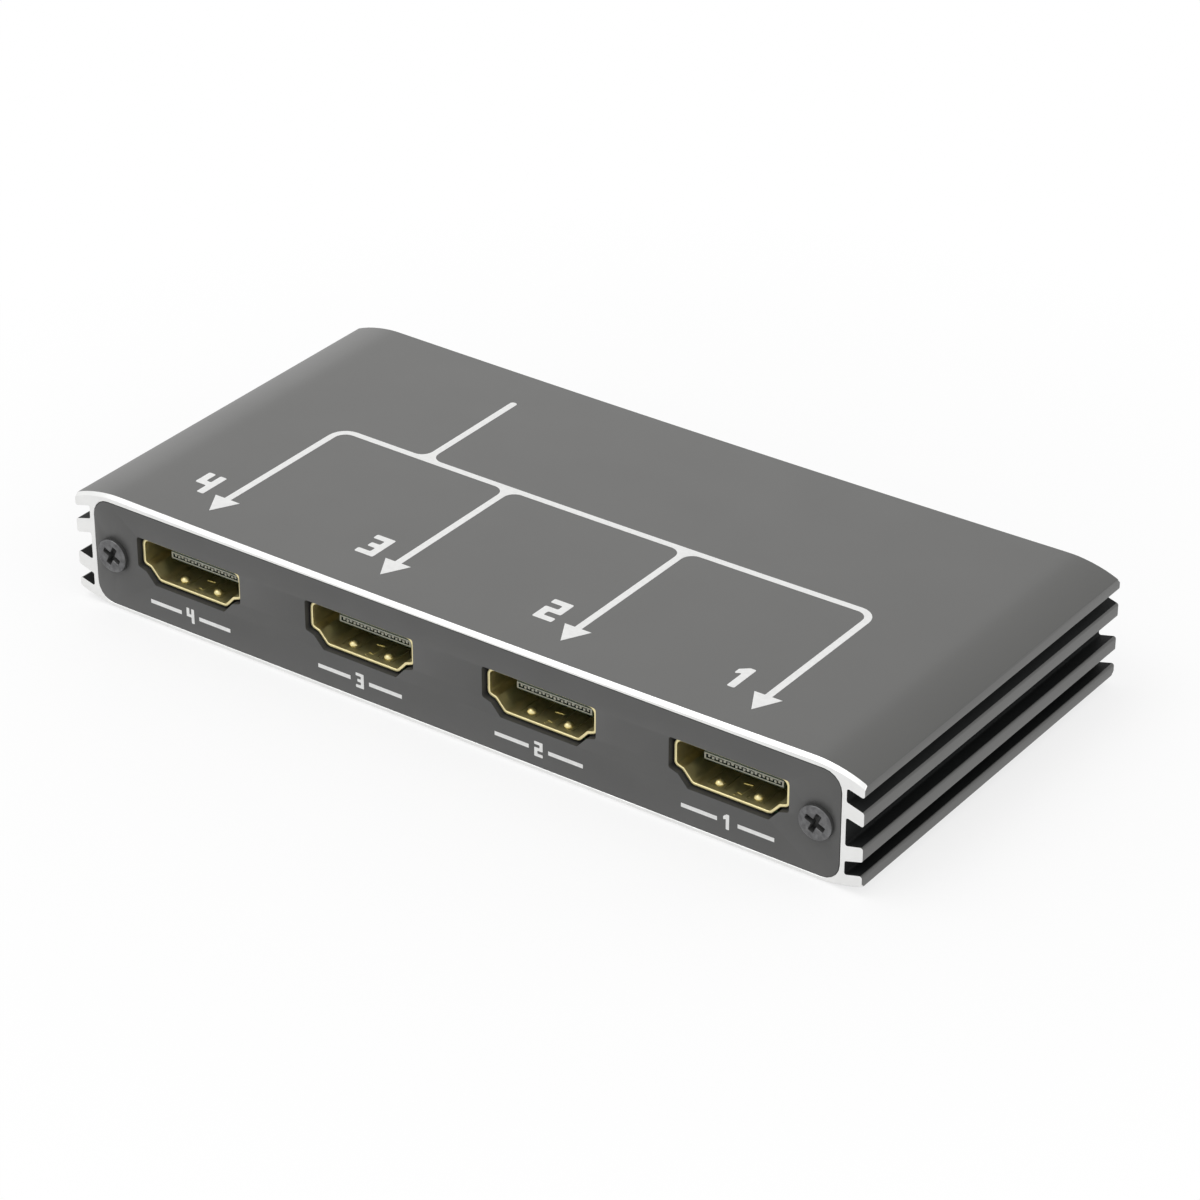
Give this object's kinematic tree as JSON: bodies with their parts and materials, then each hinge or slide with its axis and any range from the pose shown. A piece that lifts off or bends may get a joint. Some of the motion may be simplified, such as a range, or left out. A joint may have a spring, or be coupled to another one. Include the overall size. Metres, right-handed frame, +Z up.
{
  "type": "video splitter",
  "caption": "Flat finned metal box that copies one video input at the rear to a row of gold-plated output sockets at the front, with a power jack and setting levers.",
  "frame": {"origin": "middle of the underside, on the surface that the box stands on", "axes": "+X across the width, to the right seen from the output side; +Y from the output panel to the rear panel; +Z up"},
  "size_m": [0.109, 0.0546, 0.0152],
  "materials": {
    "black_housing": "black anodised, satin, with bright milled ends",
    "black_panel": "fine matt black coat",
    "black_screw": "black oxide, satin",
    "gold_shell": "gold plated, satin",
    "socket_plastic": "moulded, dark",
    "gold_contact": "gold plated, polished",
    "board_green": "solder resist over glass fibre board",
    "sheet_film": "thin insulating film",
    "black_plastic": "moulded, low gloss",
    "plated_pin": "bright nickel plate",
    "switch_red": "moulded, red",
    "lever_white": "moulded, white",
    "light_lens": "clear cast resin",
    "chip_black": "moulded chip case",
    "sink_metal": "plain extruded",
    "tape_white": "soft thermal tape",
    "ferrite_grey": "pressed iron powder",
    "can_metal": "drawn can",
    "ceramic_tan": "fired ceramic with tinned ends"
  },
  "bodies": {
    "box": {"housing": "black_housing", "front_panel": "black_panel", "rear_panel": "black_panel", "panel_screws": "black_screw", "main_board": "board_green", "insulating_sheet": "sheet_film", "output_1_shell": "gold_shell", "output_1_insulator": "socket_plastic", "output_1_contacts": "gold_contact", "output_2_shell": "gold_shell", "output_2_insulator": "socket_plastic", "output_2_contacts": "gold_contact", "output_3_shell": "gold_shell", "output_3_insulator": "socket_plastic", "output_3_contacts": "gold_contact", "output_4_shell": "gold_shell", "output_4_insulator": "socket_plastic", "output_4_contacts": "gold_contact", "input_shell": "gold_shell", "input_insulator": "socket_plastic", "input_contacts": "gold_contact", "power_jack_body": "black_plastic", "power_jack_pin": "plated_pin", "power_jack_spring": "plated_pin", "switch_cover": "switch_red", "switch_base": "black_plastic", "switch_terminals": "plated_pin", "power_light": "light_lens", "power_light_leads": "plated_pin", "splitter_chip": "chip_black", "heat_sink_tape": "tape_white", "heat_sink": "sink_metal", "line_driver_chips": "chip_black", "memory_chip": "chip_black", "regulator_chips": "chip_black", "power_inductors": "ferrite_grey", "electrolytic_capacitors": "can_metal", "ceramic_capacitors": "ceramic_tan", "crystal": "can_metal"},
    "switch_lever_1": {"switch_lever_1": "lever_white"},
    "switch_lever_2": {"switch_lever_2": "lever_white"},
    "switch_lever_3": {"switch_lever_3": "lever_white"},
    "switch_lever_4": {"switch_lever_4": "lever_white"}
  },
  "joints": [
    {"name": "lever_1_slide", "type": "slide", "parent": "box", "child": "switch_lever_1", "axis": [0, 0, 1], "range_m": [0, 0.0016]},
    {"name": "lever_2_slide", "type": "slide", "parent": "box", "child": "switch_lever_2", "axis": [0, 0, 1], "range_m": [0, 0.0016]},
    {"name": "lever_3_slide", "type": "slide", "parent": "box", "child": "switch_lever_3", "axis": [0, 0, 1], "range_m": [0, 0.0016]},
    {"name": "lever_4_slide", "type": "slide", "parent": "box", "child": "switch_lever_4", "axis": [0, 0, 1], "range_m": [0, 0.0016]}
  ]
}
